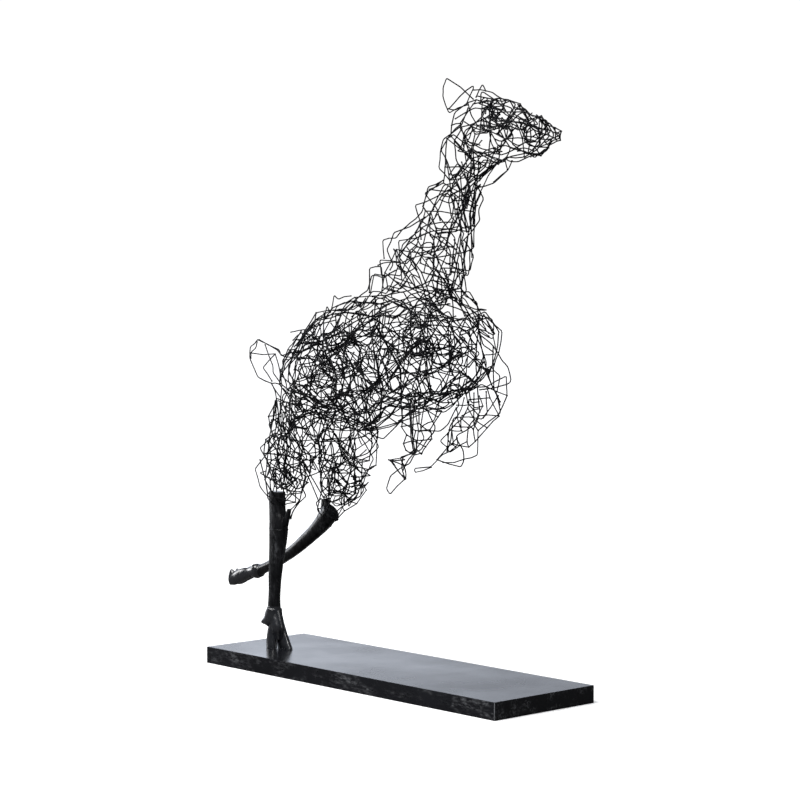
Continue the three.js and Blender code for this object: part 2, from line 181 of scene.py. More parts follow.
STANDING_SPUR = [
    [-23.2, -3.5, 25.6, 0.4, 0.4],
    [-23.8, -3.5, 24.2, 0.55, 0.5],
    [-24.7, -3.5, 22.4, 0.8, 0.7],
]
RAISED_SHANK = [
    [-21.0, 4.5, 24.8, 1.8, 1.5],
    [-23.6, 4.5, 22.4, 1.65, 1.35],
    [-25.9, 4.5, 20.6, 1.4, 1.2],
    [-30.9, 4.5, 17.2, 1.15, 1.05],
    [-35.5, 4.5, 14.7, 1.0, 0.95],
    [-39.6, 4.5, 12.9, 0.95, 0.92],
    [-41.9, 4.5, 12.0, 1.1, 1.0],
]
RAISED_HOCK_POINT = [
    [-22.9, 4.5, 26.9, 0.6, 0.6],
    [-22.6, 4.5, 25.2, 1.0, 0.9],
    [-22.4, 4.5, 23.0, 1.2, 1.0],
]

# Feet: where the fetlocks are, and sections measured from them, toes to +X and sole down
STANDING_FETLOCK = [-28.0, -3.1, 6.5]
STANDING_PASTERN = [
    [-0.1, 0, 1.4, 1.15, 1.0],
    [0.0, 0, 0.0, 1.4, 1.2],
    [0.4, 0, -1.4, 1.5, 1.28],
    [0.9, 0, -2.9, 1.45, 1.2],
    [0.9, 0, -4.9, 1.15, 0.85],
]
STANDING_TOE = [
    [0.65, 0.56, -1.6, 1.15, 0.5],
    [1.05, 0.64, -3.6, 1.5, 0.68],
    [1.5, 0.7, -5.1, 1.8, 0.74],
    [2.05, 0.76, -6.5, 2.0, 0.76],
]
STANDING_DEWCLAW = [
    [0.0, 0.5, 0.7, 1.1, 0.9],
    [-0.5, 0.65, -1.2, 1.6, 0.85],
    [-1.5, 0.8, -1.7, 0.9, 0.55],
    [-2.6, 0.85, -2.1, 0.25, 0.25],
]

# Each foot's toes: the side that one is on, its share of the full depth, and how far forward its sole is set
STANDING_TOES = ((-1, 0.64, -2.0), (1, 1, 0))
RAISED_TOES = ((-1, 1, 0), (1, 1, 0))

# Where the seam is round each shank, as a share of its sections
STANDING_SEAM = 0.4
RAISED_SEAM = 0.12
SEAM_RADIUS = 0.45 * MM

RAISED_FETLOCK = [-42.3, 4.5, 11.9]
RAISED_PASTERN = [
    [0.0, 0, 1.2, 1.0, 1.0],
    [0.0, 0, 0.0, 1.4, 1.2],
    [0.2, 0, -1.2, 1.2, 1.15],
    [0.5, 0, -2.6, 1.0, 1.1],
]
RAISED_TOE = [
    [0.4, 0.58, -1.4, 0.9, 0.5],
    [0.75, 0.62, -3.0, 1.15, 0.6],
    [1.35, 0.66, -4.7, 1.25, 0.66],
    [1.9, 0.68, -6.0, 1.28, 0.68],
    [1.8, 0.68, -7.3, 1.6, 0.68],
]
RAISED_DEWCLAW = [
    [-0.2, 0.4, 0.2, 0.85, 0.75],
    [-0.6, 0.45, -0.4, 0.75, 0.7],
    [-1.0, 0.45, -0.8, 0.45, 0.45],
]

# Wires that show singly, in hundredths: y at the wire's two ends, then x and z of each bend
HEAD_LINES = [
    [-3.2, -2.4, [23.5, 96], [17.3, 99.7], [16.9, 99.7], [16, 98.4], [15.8, 96.8], [17.1, 94.1],
     [21.3, 95.2]],
    [2.6, 2.2, [11.7, 95.3], [14.5, 97.3], [17.6, 98.8], [17.9, 98.5], [16.1, 95.7], [13.5, 95], [12, 95.3]],
    [0.8, 0.2, [20.1, 96.7], [21.9, 98.7], [23, 97.5]],
    [0, 0.6, [20.4, 97.8], [21.8, 97.8], [24.5, 97.2], [26.7, 96], [28.3, 95.7], [29.3, 94.2], [31.4, 94]],
    [-1.2, -2, [23.2, 95.3], [23.5, 97.1], [24.2, 97.2], [28.1, 95.2], [29.7, 94]],
    [1.5, 2, [20.4, 95.8], [20.7, 96.4], [21.5, 96.7], [22.4, 94.2]],
    [-2.4, -1.6, [24.5, 94.4], [26.1, 94.9], [26.3, 93.7], [33.1, 93.5]],
    [-1, 0.4, [32.1, 93.9], [36.8, 92.4], [37.1, 91.9], [38.2, 91.4], [39.3, 89.9], [40, 89.7], [39, 89.4]],
    [0.5, 0, [39.3, 89.1], [37.9, 88.8], [36.7, 87.2], [34.7, 86.6], [34.3, 86.2], [32, 87.4], [30.6, 87.4]],
    [-0.6, 0.6, [38.6, 88.7], [37.3, 87.3], [35.9, 86.8], [30.5, 85.7], [28.2, 85.9], [27.3, 86.3]],
    [-1.4, -0.6, [33.8, 89.6], [36.8, 89], [38.6, 89]],
    [-3.4, -2.8, [27.4, 92.6], [31, 91], [31.4, 91.6]],
    [-3.6, -2.6, [27.8, 93], [29.7, 92], [30.8, 92.4], [31.9, 91.3], [30.5, 90.8]],
    [-3, -3.4, [27.9, 93.4], [29.9, 92.1], [32.5, 92], [34.1, 93], [35.3, 93.3]],
    [-3.3, -3, [28.5, 90.8], [31.1, 91.8], [33.1, 93.4]],
    [-3.2, -3.6, [29.1, 90.2], [31.8, 91.9], [34.3, 90.8], [32.6, 90.5]],
    [-3.6, -3.2, [30.6, 92.6], [32.8, 90.2], [31.3, 89], [29.8, 88.9], [28.6, 89.3]],
    [-2.6, -3.4, [22.2, 91.9], [27.6, 91.1], [29.9, 91.5], [32.2, 90.7]],
]
NECK_LINES = [
    [-2.2, -1.2, [21.3, 94.7], [19.5, 91.9], [15, 89.9], [14.1, 88], [13.5, 85.2], [15.7, 83.3]],
    [1.5, 2.5, [15.8, 92.5], [12.9, 90.8], [10.5, 88.4], [11.8, 86.6], [13, 83.7], [14.5, 81.6]],
    [-3, -3.4, [20.7, 91.4], [19, 89.4], [19.6, 86.3], [23, 81.9]],
    [-3.6, -2.8, [23.9, 91.8], [21.6, 89.8], [22.6, 87.5], [24.9, 87.4], [30.5, 85.7]],
    [-3.6, -3.8, [24.4, 90.3], [23.5, 87.6], [21.5, 84.6], [19.9, 83.6]],
    [-3.4, -2.4, [23.7, 87.6], [23.9, 84.5], [21.6, 82.5], [22, 81]],
    [2.4, 3.4, [21.5, 87.2], [20.4, 85.4], [14.3, 81.7], [11.6, 80.9]],
    [1.8, 1.2, [25.9, 86.2], [26.7, 84.5], [23.7, 82.5], [19.7, 81.8]],
    [0, 1.4, [29.3, 85.9], [27.7, 84.5], [23.7, 82.7]],
    [3.2, 1.4, [24.5, 86.1], [22.3, 85.4], [16.2, 81.7]],
    [-2.4, -1, [15.6, 83.1], [11.7, 82.1], [10, 78], [6.4, 76], [2.9, 73.7], [-0.7, 73.4], [-0.6, 70.3]],
    [-1.4, -2.4, [14, 82.9], [10.4, 81.1], [13.8, 78.4], [14.9, 76.5]],
    [-2.6, -3.2, [18.9, 82.1], [13.8, 80.2], [9.3, 79.1], [10.7, 76.4], [11.1, 73.4]],
    [-2, -1.6, [10.8, 77.1], [2.9, 74.6], [1, 71.7], [2.5, 69.3], [1.6, 68.3]],
    [-3, -1.8, [20.5, 75.5], [13.1, 74.7], [4.4, 73.2], [4.8, 66.6]],
    [-1, -2.4, [3.5, 69.6], [-1.4, 70], [-0.6, 67.2], [4.5, 67.3], [7.2, 71.6], [9.2, 72.6]],
    [-2.2, -2.6, [-0.8, 69.1], [1.8, 69.6], [6.6, 69.3], [8.5, 70.3]],
    [1.6, 2.6, [19.5, 82.3], [20.9, 80], [19.5, 78.2], [19.6, 76.5], [14.9, 72.8], [15.4, 71.3]],
    [3.4, 1.4, [16, 82], [17.7, 76.6], [18, 71.9], [14, 70.9], [7.4, 70.1]],
    [2.2, 3, [19.6, 82.2], [18.4, 81.4], [16.5, 77.4], [17.2, 72.1]],
    [3, 2.2, [15, 73.3], [17.6, 70.6], [17, 68.1], [10.5, 68.6]],
    [3.6, 3.4, [15.8, 71.4], [15.9, 69.1], [15.5, 67.3], [11.2, 68.1]],
    [4, 3, [13.7, 72.8], [14.4, 69.6], [13.9, 65.2], [10.4, 67.1], [10.6, 68.1]],
]
CHEST_LINES = [
    [3.5, 4, [14, 67.3], [13.7, 65.2], [14.5, 63.9], [17.3, 62.9], [17.7, 60.2], [17.4, 58.9]],
    [4, 2.4, [17.6, 60.7], [21, 60.1], [21.8, 59.1], [21.9, 56.8], [19.4, 57.8], [18.5, 58.9]],
    [4.5, 3.5, [16.6, 59.5], [19.2, 60.3], [23, 58.1], [22.5, 54.8], [21.3, 51.8], [21.7, 48.7]],
    [3, 1.4, [18.2, 57.8], [21.9, 56], [24.7, 53.3], [26.3, 52.3], [27.3, 50.1], [26.9, 49.6], [20.5, 48.4]],
    [4, 4.5, [21, 55.6], [20.6, 51.8], [22.3, 50.7], [21.4, 48]],
    [-0.5, 3.5, [19.9, 60], [21.9, 55.6], [22.3, 53.1], [21.4, 51.4], [23.5, 47.3], [23.1, 45.9]],
    [1.4, 4.4, [19.3, 60.6], [19.7, 55.8], [20.6, 54.6]],
    [-2, 3, [19.7, 58.2], [20.4, 58.2], [20.1, 55.9], [18.6, 54.5], [21.6, 51.5], [22, 51.5]],
    [-3.4, 1.4, [18.8, 55.4], [21.1, 54.3], [24.8, 51.4], [24.6, 49.2], [25.3, 46.6]],
    [-4.4, -2, [18.9, 53.5], [24.6, 49.5], [24, 45]],
    [-4.4, -2.6, [19.4, 49.8], [23.3, 48.6], [23.2, 46.5], [24.4, 46.7]],
    [-2, 2.6, [18.3, 63.3], [20.1, 59.3], [21.4, 57.3]],
    [0.4, 2, [17, 63.8], [17.4, 63.4], [20, 59.6], [22, 57.8]],
    [-3.6, -0.6, [16.9, 60], [18.2, 59.7], [20.3, 60.4], [22.9, 59.2], [19.7, 58.3]],
]
RUMP_LINES = [
    [-1.5, -0.2, [-25.4, 53.6], [-28.1, 52.8], [-28.8, 53.9], [-35.1, 55.7], [-37.6, 54.2], [-38, 52.2],
     [-35.8, 48.7], [-32.2, 47.7], [-29.8, 47.6]],
    [-0.4, -1.5, [-38.2, 53.1], [-30.6, 53.1], [-29.2, 50.9], [-28, 47.6], [-28.2, 42.8]],
    [0.4, -0.4, [-36.9, 55.5], [-31, 53.8], [-29, 52.7], [-26.7, 52.6]],
    [0.6, 0, [-37.4, 55.1], [-37.5, 54], [-38.7, 53.2], [-38.5, 52.1]],
    [-1, -0.4, [-30.2, 53.1], [-34.1, 50.5], [-31.9, 48.1]],
    [0.8, -1, [-35.3, 54.6], [-32.5, 50.8], [-31.9, 49.6], [-29.1, 47.7], [-27.1, 47]],
    [-2.4, -3.6, [-29.7, 47.9], [-26.4, 45.3], [-25.9, 41], [-24.6, 39.5]],
    [-3.4, -4.4, [-28.2, 47.8], [-27, 46.6], [-25.9, 43.6], [-25.3, 40.7], [-23.9, 39.4]],
    [-3, -4, [-20.2, 46.8], [-24.7, 46.3], [-25.2, 45.6], [-24.6, 44.2], [-21, 39.7]],
    [-2.4, -3.4, [-24, 57.2], [-18.1, 57.9], [-10.5, 59.6]],
    [-3, -4.2, [-22.7, 55.8], [-19.8, 57.3], [-19.2, 55.9], [-20.8, 54.3], [-22.7, 54.1]],
    [-3.6, -4, [-17.3, 57.7], [-14.6, 55.8], [-13.9, 57.4], [-14.3, 58.8]],
    [-2, -3, [-15.3, 59.5], [-14.3, 62], [-13.2, 60.6], [-11.9, 63.9], [-10.6, 63.2], [-7, 63.8]],
]
WITHERS_LINES = [
    [-2, -1, [-7, 63], [-4, 64.8], [-3.2, 67.4], [-0.4, 66.9], [2.2, 68.2]],
    [1, 2, [-6.4, 62.6], [-2, 65.6], [1, 65], [3.2, 67.6], [5.2, 66.9]],
    [-2.6, -3.2, [-2.6, 64.4], [-2.4, 68.6], [0.8, 68.9], [1.4, 65.2], [4.2, 64.6]],
    [-1.8, -2.8, [-3.2, 64.4], [-2, 67.6], [1.2, 67.4], [2.2, 64.6], [5, 66]],
    [0.5, 1.5, [-8.4, 61.8], [-5.6, 64.6], [-2.2, 64.2], [-0.4, 67], [3.6, 66]],
]
BELLY_LINES = [
    [-3, -2, [-12.4, 42.1], [-9.6, 40.2], [-7.2, 42.4], [-3.4, 41.2], [0.4, 44.3]],
    [1, 2.4, [-10.2, 43.4], [-6.6, 41.4], [-3.8, 43.6], [-0.6, 41.8], [3.6, 44]],
    [-1.4, -0.4, [-8.4, 44.6], [-6, 40.9], [-2.2, 42.2], [-0.9, 44.8]],
    [-1, 0.5, [-4.8, 40], [-1.7, 39.1], [2.3, 42.6]],
    [-3.6, -1, [-9, 41.3], [-2.8, 40.6], [7.7, 43.3], [8.5, 43.9]],
    [-2, 1.6, [-13.8, 40.3], [-11.1, 40.1], [-5.3, 40.3], [2.6, 42.7]],
    [-5, -4.6, [-21.2, 41], [-17, 43.1], [-10.7, 43.6]],
    [-5.4, -4.8, [-21.3, 39.9], [-20, 41.8], [-14.1, 43.1], [-10.2, 42.9]],
]
RIGHT_THIGH_LINES = [
    [-4.4, -4.8, [-24.4, 42.2], [-27.7, 40.7], [-24.8, 36.7]],
    [-5, -5.6, [-24.3, 40.8], [-24.3, 39.4], [-29.2, 36.3], [-24.1, 30.3]],
    [-5.6, -4.6, [-24.7, 37.3], [-30.8, 32.4], [-29.8, 29.2], [-27.9, 27.5]],
    [-5, -4, [-29.7, 34.1], [-28.8, 30.5], [-28.7, 27.5]],
    [-6.4, -6, [-22.3, 38.7], [-26.7, 35.2], [-21.7, 37.1]],
    [-6, -5, [-26.8, 32.3], [-29.1, 31.8], [-22.6, 29.3]],
    [-3.4, -2.4, [-20.3, 35.4], [-19.5, 33.7], [-19.5, 31.7], [-21.3, 27.3], [-24.4, 23.8]],
    [-3, -2.2, [-21.1, 30.9], [-19.5, 28.1], [-23.5, 25.1], [-24.4, 23.6]],
    [-5, -3.2, [-22.3, 29.5], [-19.3, 27.5], [-23.3, 25], [-23.7, 23.7]],
]
LEFT_THIGH_LINES = [
    [3.4, 4.2, [-28.8, 33.8], [-26.2, 30.1], [-24.1, 26.2]],
    [2.6, 3.4, [-27, 33.6], [-21.2, 26.5]],
    [4, 4.6, [-23.3, 26.9], [-25.1, 26], [-23.8, 23.3]],
    [7, 6.4, [-15.2, 40.7], [-12.6, 39.1], [-10.6, 36.9], [-12.8, 35.2], [-19.2, 32.1]],
    [8, 7, [-18.5, 39.8], [-13.1, 34.6], [-14.1, 32.5], [-17.1, 29.1]],
    [6.6, 5.4, [-20.2, 35.1], [-14.6, 31.8], [-14.7, 27.9], [-19.9, 25.4], [-21.1, 24.2]],
    [7.4, 8, [-14.8, 36.1], [-19.5, 33.8], [-16.9, 31.9]],
    [5, 6, [-18.6, 36.2], [-16.2, 34.5], [-15.4, 36.3], [-16.2, 38.2], [-14.9, 39.7]],
]
RIGHT_FORELEG_LINES = [
    [-6.6, -6.5, [11.6, 47], [12.3, 40], [13, 38]],
    [-5.2, -6.3, [10.6, 46.5], [11.6, 41.3], [13, 38.2]],
    [-7.6, -6.6, [14.4, 47.5], [13.2, 38.9], [13.1, 38]],
    [-5.8, -6.4, [12.2, 46.3], [13.6, 41.7], [13.3, 38.2]],
    [-7, -6.3, [16.4, 47.2], [14.8, 42.1], [15.5, 40.5], [13, 38.2]],
    [-6.4, -6.6, [15.5, 46], [18.1, 42.4], [17.8, 41.6], [14.7, 38.5], [13.2, 38]],
    [-5.6, -6.8, [18.3, 47.2], [17.3, 43.4], [14.9, 42.5], [14.7, 41.5]],
    [-6.2, 2, [14.2, 41.6], [16, 41.5], [15.1, 42.5], [14.2, 45.1]],
    [-6.7, -6.5, [13.3, 38.1], [6.7, 36.3], [10.6, 36.6]],
    [-6, -6.3, [12.7, 37.8], [9.1, 36.9], [9.7, 36], [10.5, 35.5]],
    [-6.9, -6.4, [7.1, 36.4], [8.1, 35.9], [9.4, 34.3], [10.8, 33.4]],
    [-6.2, -6.4, [6.9, 36.1], [10.6, 33.3]],
    [-6.6, -6.6, [7.6, 36.2], [10.6, 35.6], [11.1, 34.4], [11, 33.4]],
    [-6.3, -6.9, [10, 36.7], [10, 35.3], [11.2, 33.4]],
    [-6.8, -6.2, [13.8, 38.1], [12.1, 36.1], [7.2, 33.7], [6, 31.4], [6.8, 30.5], [10.2, 33.2]],
    [-6.2, -7, [12.6, 37.8], [11.6, 36.6], [10.8, 34.9]],
]
LEFT_FORELEG_LINES = [
    [6.5, 7, [9.7, 46.4], [10.1, 45.2], [9.2, 44.5], [9.6, 43.7], [9.1, 43]],
    [7.8, 7.2, [10.1, 46.4], [9.9, 44.8], [9, 43.1]],
    [4.4, 6.8, [21.5, 47.3], [21.9, 44.5], [16, 41.2], [15.4, 37], [11.9, 36.1], [5.9, 35.1]],
    [5, 7.8, [21.2, 47.3], [15.9, 43.1], [8.3, 43]],
    [6, 6.4, [17.3, 47.8], [17.4, 44.2], [16.2, 43.3]],
    [7.4, 7, [14.2, 46.9], [15.3, 45.3], [13.4, 42]],
    [8.2, 7, [12.1, 47.3], [12.7, 42], [14.3, 41.1]],
    [7.2, 6.8, [13.2, 42], [9.1, 40], [8.9, 39.5], [10.7, 37.5], [11, 35.8], [10.3, 34.6], [4.4, 35.5]],
    [7.6, 7.1, [8.5, 43.1], [7.7, 42.7], [7.4, 39.1], [6.6, 37.1]],
    [6.2, 6.8, [9.8, 43], [8.3, 41.9], [7.6, 40.7], [7, 37.3]],
    [6.8, 7.6, [7.4, 40.8], [10, 40.7], [9.5, 42.9]],
    [7, 6.6, [9.2, 43.1], [10.8, 40.8]],
    [6.9, 6.5, [9.3, 39.5], [8.2, 38.3]],
    [7.5, 6.8, [8.7, 39.5], [9, 38.3], [5.1, 36.3], [2.4, 34.1], [-1.6, 33.6], [-1.4, 32.9], [2.9, 34.1]],
    [6.4, 6.8, [7.8, 38.1], [4.4, 35.5]],
    [7.6, 8, [8.5, 45.1], [12.1, 45.4], [12.5, 44.8], [14.5, 45.2]],
    [8, 7.4, [9.4, 43.3], [11.7, 44.2], [13.9, 44.7]],
]


def measured(place):
    """The place in metres of one in hundredths"""
    return Vector(place[:3]) * HUNDREDTH + FIGURE_FOOT


def scatter(a, b, c):
    """An even scatter from -1 to 1 that is the same for the same three numbers"""
    wave = math.sin(a * 12.9898 + b * 78.233 + c * 37.719) * 43758.5453
    return 2 * (wave - math.floor(wave)) - 1


def along(knots, share):
    """A smooth curve's point at a share of its knots, with the ends run on in a straight line"""
    last = len(knots) - 1
    span = min(int(share * last), last - 1)
    t = share * last - span
    b = knots[span]
    c = knots[span + 1]
    a = knots[span - 1] if span > 0 else 2 * b - c
    d = knots[span + 2] if span + 2 <= last else 2 * c - b
    return 0.5 * (
        2 * b + (c - a) * t + (2 * a - 5 * b + 4 * c - d) * t * t + (3 * b - a - 3 * c + d) * t * t * t
    )


class Limb:
    """A smooth run of oval sections"""

    def __init__(self, sections, upright=False):
        self.middles = [measured(section) for section in sections]
        self.reaches = [Vector((depth, width, 0)) * HUNDREDTH for *_, depth, width in sections]
        self.girth = max(reach.x + reach.y for reach in self.reaches)
        self.upright = upright

    def axes(self, u):
        """The limb's own front and left at u; an upright limb keeps its sections level"""
        if self.upright:
            return Vector((1, 0, 0)), Vector((0, 1, 0))
        fore = along(self.middles, min(u + TANGENT_SHARE, 1))
        aft = along(self.middles, max(u - TANGENT_SHARE, 0))
        ahead = (fore - aft).normalized()
        left = Vector((0, 1, 0))
        left = (left - ahead * left.dot(ahead)).normalized()
        return ahead.cross(left), left

    def at(self, u, v, shell=1.0, lift=0.0):
        """The point at u along the limb and at the angle v round it, lifted off it"""
        front, left = self.axes(u)
        reach = along(self.reaches, u)
        return (
            along(self.middles, u)
            + front * (reach.x * shell + lift) * math.cos(v)
            + left * (reach.y * shell + lift) * math.sin(v)
        )

    def pace(self, u, v, shell):
        """Metres for a whole run of u, and for a radian of v"""
        du = TRIED_SHARE if u < 0.5 else -TRIED_SHARE
        spot = self.at(u, v, shell)
        lengthways = (self.at(u + du, v, shell) - spot).length / TRIED_SHARE
        across = (self.at(u, v + TRIED_TURN, shell) - spot).length / TRIED_TURN
        return max(lengthways, LEAST_LENGTHWAYS), max(across, LEAST_ACROSS)

    def fair_spot(self, chance, spread):
        """A place on the limb by chance, with thin stretches as seldom as they are small"""
        u = chance.uniform(*spread)
        while chance.random() * self.girth > sum(along(self.reaches, u)):
            u = chance.uniform(*spread)
        return u, chance.uniform(0, 2 * math.pi)


class Runs:
    """One piece's wires, each a list of points and whether its ends meet, and where its welds are"""

    def __init__(self):
        self.wires = []
        self.welds = []

    def add(self, points, closed=False):
        self.wires.append((points, closed))


def ring_net(runs, limb, rings, cells, seed, start=0.0, end=1.0, shell=1.0, stray=1.0, collar=False):
    """A six-sided mesh of wire round a limb: zigzag rings, each linked to the next at every other bend.

    shell is how near the limb's skin it lies. With a collar its last ring is level, to meet the casting.
    """
    around = 2 * cells
    pitch = (end - start) / (rings - 1 + 1 / 3)
    knots = []
    for ring in range(rings):
        straight = collar and ring == rings - 1
        slack = 0 if straight else stray
        for side in range(around):
            up = 1 if (ring + side) % 2 == 0 else -1
            forward = slack * STRAY_ALONG * scatter(ring, side, seed)
            across = slack * STRAY_AROUND * scatter(side, ring, seed + 1)
            out = slack * STRAY_OUT * HUNDREDTH * scatter(side, seed, ring + 2)
            even = start + pitch * (ring + 1 / 6 + up / 6 + forward)
            u = end if straight else min(max(even, 0), 1)
            v = 2 * math.pi * (side + across) / around
            knots.append(limb.at(u, v, shell, out))
    for ring in range(rings):
        row = knots[ring * around:(ring + 1) * around]
        runs.add(row, closed=True)
        for side in range(around):
            if (ring + side) % 2 == 0 and ring < rings - 1:
                here = ring * around + side
                runs.add([knots[here], knots[here + around]])
                runs.welds += [knots[here], knots[here + around]]


def one_way(limb, chance, stride, bend, shells, spread, closed, grain):
    """The places of one wandering wire on a limb, whether it is a ring, and its length"""
    u, v = limb.fair_spot(chance, spread)
    shell = math.sqrt(chance.uniform(shells[0] ** 2, shells[1] ** 2))
    drift = chance.uniform(-DRIFT, DRIFT)
    heading = chance.uniform(0, 2 * math.pi)
    side = chance.choice((-1, 1))
    step = chance.uniform(*stride)
    places = [(u, v, shell)]
    length = 0
    ring = chance.random() < closed
    count = chance.randint(*(RING_CORNERS if ring else OPEN_CORNERS))
    stretch = chance.uniform(*RING_STRETCH)
    for corner in range(count):
        reach = step * chance.uniform(*OPEN_STEP)
        if ring:
            reach = step * chance.uniform(*RING_STEP) * (stretch if corner % (count // 2) == 0 else 1)
        lengthways, across = limb.pace(u, v, shell)
        onward = reach * math.cos(heading) * grain / lengthways
        if not spread[0] <= u + onward <= spread[1]:
            heading = math.pi - heading
            onward = -onward
        u = min(max(u + onward, 0), 1)
        v += reach * math.sin(heading) / across
        shell = min(max(shell + drift + chance.uniform(-DRIFT, DRIFT), shells[0]), shells[1])
        places.append((u, v, shell))
        length += reach
        if ring:
            heading += side * 2 * math.pi / count * chance.uniform(*RING_TURN)
        else:
            if chance.random() > CURL:
                side = -side
            heading += side * chance.uniform(*bend)
    if ring:
        places.pop()
    return places, ring, length


def wander(runs, limb, chance, length, stride, bend, shells, spread, closed=0.0, grain=1.0, strands=1):
    """Wires that wander over a limb until their whole length in metres is used up.

    stride is the least and most between two bends, bend the least and most turn at each in radians, shells
    how near the limb's skin they stay and spread the stretch of the limb. closed is the share of wires that
    are bent round into a ring, grain how much longer a stride along the limb is than one round it, and
    strands how many wires lie side by side along each way.
    """
    left_over = length
    while left_over > 0:
        places, ring, used = one_way(limb, chance, stride, bend, shells, spread, closed, grain)
        left_over -= used * strands
        for strand in range(strands):
            aside = Vector([chance.uniform(-STRAND_GAP, STRAND_GAP) * strand for axis in range(3)])
            points = [limb.at(*place) + aside * chance.uniform(*STRAND_SPREAD) for place in places]
            runs.add(points, closed=ring)
        runs.welds.append(points[0])


def single_wires(runs, lines):
    """The wires that are given bend by bend, with their depths spread evenly from end to end"""
    for first, last, *bends in lines:
        steps = len(bends) - 1
        spots = [measured([x, first + (last - first) * i / steps, z]) for i, (x, z) in enumerate(bends)]
        runs.add(spots)
        runs.welds += [spots[0], spots[-1]]


def bent(points, closed):
    """The same wire with each corner bent over two close points and each long stretch a little bowed"""
    count = len(points)
    worked = []
    for i, spot in enumerate(points):
        ahead = points[(i + 1) % count]
        if closed or 0 < i < count - 1:
            for other in (points[i - 1], ahead):
                leg = other - spot
                worked.append(spot + leg.normalized() * min(BEND_REACH, leg.length * BEND_SHARE))
        else:
            worked.append(spot)
        stretch = ahead - spot
        if stretch.length > BOWED_FROM and (closed or i < count - 1):
            sideways = stretch.cross(BOW_SIDE).normalized()
            bow = stretch.length * BOW * scatter(i, spot.x / MM, spot.z / MM)
            worked.append(spot + stretch / 2 + sideways * bow)
    return worked


def alone(*pieces):
    """Selects these objects and nothing else, with the first one active"""
    bpy.ops.object.select_all(action="DESELECT")
    for piece in pieces:
        piece.select_set(True)
    bpy.context.view_layer.objects.active = pieces[0]


def weld_beads(spots):
    """A small flattened bead of weld at each spot, every one with its own mesh"""
    bpy.ops.object.select_all(action="DESELECT")
    bpy.ops.mesh.primitive_ico_sphere_add(subdivisions=1, radius=BEAD_RADIUS, location=(0, 0, 0))
    pattern = bpy.context.object
    bpy.ops.object.mode_set(mode="EDIT")
    bpy.ops.transform.resize(value=BEAD_SHAPE)
    bpy.ops.object.mode_set(mode="OBJECT")
    beads = []
    for spot in spots:
        bead = pattern.copy()
        bead.data = pattern.data.copy()
        bead.location = spot
        bpy.context.collection.objects.link(bead)
        beads.append(bead)
    bpy.data.objects.remove(pattern)
    return beads


def wire_piece(name, runs, finish):
    """The wires of one piece as round bars, in one mesh with their beads of weld"""
    curve = bpy.data.curves.new(name, "CURVE")
    curve.dimensions = "3D"
    curve.bevel_depth = WIRE_DIAMETER / 2
    curve.bevel_resolution = 1
    curve.use_fill_caps = True
    for points, closed in runs.wires:
        places = bent(points, closed)
        spline = curve.splines.new("POLY")
        spline.points.add(len(places) - 1)
        spline.use_cyclic_u = closed
        spline.use_smooth = True
        for spot, place in zip(spline.points, places):
            spot.co = (*place, 1)
    piece = bpy.data.objects.new(name, curve)
    bpy.context.collection.objects.link(piece)
    beads = weld_beads(runs.welds)
    alone(piece)
    bpy.ops.object.convert(target="MESH")
    piece = bpy.context.object
    alone(piece, *beads)
    bpy.ops.object.join()
    bpy.ops.object.transform_apply(location=True, rotation=True, scale=True)
    bpy.ops.object.shade_smooth()
    piece.data.materials.clear()
    piece.data.materials.append(finish)
    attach(piece, "root")
    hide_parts("wire_body")
    return piece


def loft(name, limb):
    """A closed skin over rings that are set along a limb"""
    bpy.ops.object.select_all(action="DESELECT")
    bpy.ops.mesh.primitive_circle_add(vertices=LOFT_CORNERS, radius=1, location=(0, 0, 0))
    piece = bpy.context.object
    piece.name = name
    bpy.ops.object.mode_set(mode="EDIT")
    bpy.ops.mesh.delete(type="VERT")
    rings = (len(limb.middles) - 1) * RINGS_PER_SECTION
    for ring in range(rings + 1):
        u = ring / rings
        middle = along(limb.middles, u)
        reach = along(limb.reaches, u)
        front, left = limb.axes(u)
        ahead = front.cross(left)
        if ahead.dot(limb.middles[-1] - limb.middles[0]) < 0:
            ahead = -ahead
        tilt = math.atan2(ahead.x, ahead.z)
        bpy.ops.mesh.primitive_circle_add(vertices=LOFT_CORNERS, radius=1, location=middle)
        bpy.ops.transform.resize(value=(reach.x, reach.y, 1), center_override=middle)
        bpy.ops.transform.rotate(value=-tilt, orient_axis="Y", center_override=middle)
    bpy.ops.mesh.select_all(action="SELECT")
    bpy.ops.mesh.bridge_edge_loops()
    bpy.ops.mesh.select_all(action="SELECT")
    bpy.ops.mesh.fill_holes(sides=0)
    bpy.ops.mesh.normals_make_consistent(inside=False)
    bpy.ops.object.mode_set(mode="OBJECT")
    return piece


def melted(piece, passes):
    """Closes a piece into one skin of even small faces and softens it"""
    alone(piece)
    skin = piece.modifiers.new("skin", "REMESH")
    skin.mode = "VOXEL"
    skin.voxel_size = CAST_GRAIN
    bpy.ops.object.modifier_apply(modifier=skin.name)
    soft = piece.modifiers.new("soft", "SMOOTH")
    soft.factor = 0.5
    soft.iterations = passes
    bpy.ops.object.modifier_apply(modifier=soft.name)


def hand_dented(piece):
    """The low uneven swells of a surface that was worked by hand before it was cast"""
    swells = bpy.data.textures.new("hand_swells", "CLOUDS")
    swells.noise_scale = DENT_SIZE
    dents = piece.modifiers.new("dents", "DISPLACE")
    dents.texture = swells
    dents.texture_coords = "LOCAL"
    dents.strength = HAND_DENT
    dents.mid_level = 0.5
    alone(piece)
    bpy.ops.object.modifier_apply(modifier=dents.name)


